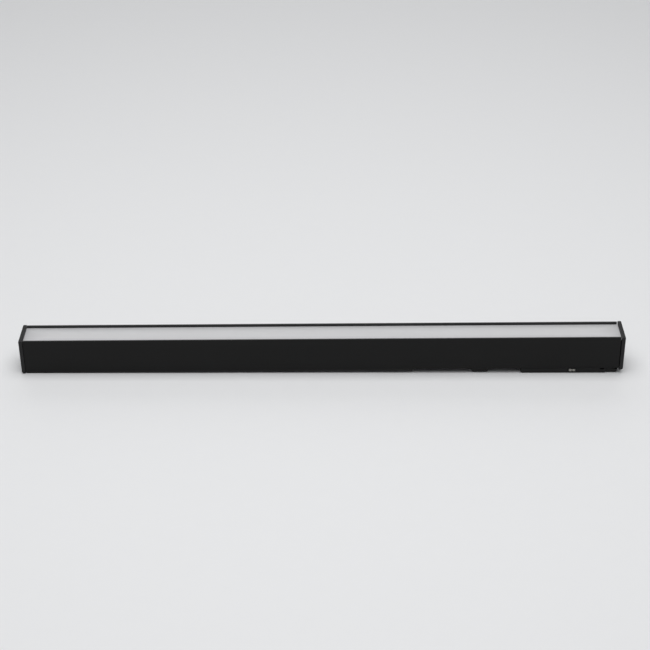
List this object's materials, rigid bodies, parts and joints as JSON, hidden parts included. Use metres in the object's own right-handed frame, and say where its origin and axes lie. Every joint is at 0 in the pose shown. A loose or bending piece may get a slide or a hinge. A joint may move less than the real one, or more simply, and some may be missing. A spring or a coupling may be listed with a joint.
{
  "type": "vanity light bar",
  "caption": "Slim black linear light bar with a recessed opal diffuser, flat end caps and a low plug-in rail adapter with sprung side contacts and a sliding lock.",
  "frame": {"origin": "middle of the back strip's outer face, the plane that the end caps and the strip share and that meets the rail or wall", "axes": "+X along the bar towards the adapter end, -Y out of the front face, +Z out of the diffuser"},
  "size_m": [0.6, 0.032, 0.0411],
  "materials": {
    "black_anodised": "fine matt black anodised extrusion",
    "opal_diffuser": "frosted opal polycarbonate",
    "black_cap_plastic": "fine-textured black moulding",
    "black_adapter_plastic": "satin black moulding",
    "black_screw": "black oxide steel",
    "plain_screw": "zinc-plated steel",
    "white_board": "white solder mask",
    "led_package": "white frame with a phosphor window",
    "thermal_tape": "soft grey tape",
    "reflector_film": "matt white film",
    "grommet_rubber": "moulded black rubber",
    "magnet_nickel": "nickel-plated magnet",
    "tray_plastic": "natural insulating plastic",
    "driver_board": "green solder mask",
    "ferrite": "dull grey ferrite",
    "capacitor_can": "sleeved can",
    "chip_resin": "moulded black resin",
    "terminal_plastic": "white terminal block",
    "wire_red": "red insulated wire",
    "wire_black": "black insulated wire",
    "busbar_brass": "tinned brass strip",
    "contact_nickel": "nickel-plated contact",
    "spring_steel": "rolled spring strip"
  },
  "bodies": {
    "light_bar": {"housing": "black_anodised", "diffuser": "opal_diffuser", "end_cap_left": "black_cap_plastic", "end_cap_right": "black_cap_plastic", "end_cap_screws_left": "black_screw", "end_cap_screws_right": "black_screw", "led_board_left": "white_board", "led_board_right": "white_board", "leds_left": "led_package", "leds_right": "led_package", "thermal_tape": "thermal_tape", "led_board_screws": "plain_screw", "board_link_strips": "busbar_brass", "led_feed_terminal": "terminal_plastic", "reflector_films": "reflector_film", "wire_grommet": "grommet_rubber", "back_strip": "black_cap_plastic", "back_magnets": "magnet_nickel", "driver_tray": "tray_plastic", "driver_tray_screws": "plain_screw", "driver_board": "driver_board", "driver_inductor": "ferrite", "driver_capacitors": "capacitor_can", "driver_chips": "chip_resin", "driver_terminals": "terminal_plastic", "output_wire_red": "wire_red", "output_wire_black": "wire_black", "input_wire_red": "wire_red", "input_wire_black": "wire_black", "adapter_base": "black_adapter_plastic", "adapter_base_screws": "black_screw", "adapter_head": "black_adapter_plastic", "adapter_head_screws": "plain_screw", "adapter_head_lid": "black_adapter_plastic", "adapter_head_magnets": "magnet_nickel", "busbar_front": "busbar_brass", "busbar_rear": "busbar_brass", "lock_detent_leaf": "spring_steel", "lock_leaf_screw": "plain_screw", "contact_spring_front_left": "spring_steel", "contact_spring_front_right": "spring_steel", "contact_spring_rear_left": "spring_steel", "contact_spring_rear_right": "spring_steel"},
    "rail_lock": {"lock_slider": "black_adapter_plastic", "lock_keeper": "black_adapter_plastic", "lock_keeper_screw": "plain_screw"},
    "contact_front_left_shoe": {"contact_front_left": "contact_nickel"},
    "contact_front_right_shoe": {"contact_front_right": "contact_nickel"},
    "contact_rear_left_shoe": {"contact_rear_left": "contact_nickel"},
    "contact_rear_right_shoe": {"contact_rear_right": "contact_nickel"}
  },
  "joints": [
    {"name": "lock_slide", "type": "slide", "parent": "light_bar", "child": "rail_lock", "axis": [1, 0, 0], "range_m": [0, 0.008], "deforming": ["lock_detent_leaf"]},
    {"name": "contact_front_left_press", "type": "slide", "parent": "light_bar", "child": "contact_front_left_shoe", "axis": [0, 1, 0], "range_m": [0, 0.0012], "stiffness_N_per_m": 500, "springref_m": -0.0008, "deforming": ["contact_spring_front_left"]},
    {"name": "contact_front_right_press", "type": "slide", "parent": "light_bar", "child": "contact_front_right_shoe", "axis": [0, 1, 0], "range_m": [0, 0.0012], "stiffness_N_per_m": 500, "springref_m": -0.0008, "deforming": ["contact_spring_front_right"]},
    {"name": "contact_rear_left_press", "type": "slide", "parent": "light_bar", "child": "contact_rear_left_shoe", "axis": [0, -1, 0], "range_m": [0, 0.0012], "stiffness_N_per_m": 500, "springref_m": -0.0008, "deforming": ["contact_spring_rear_left"]},
    {"name": "contact_rear_right_press", "type": "slide", "parent": "light_bar", "child": "contact_rear_right_shoe", "axis": [0, -1, 0], "range_m": [0, 0.0012], "stiffness_N_per_m": 500, "springref_m": -0.0008, "deforming": ["contact_spring_rear_right"]}
  ]
}
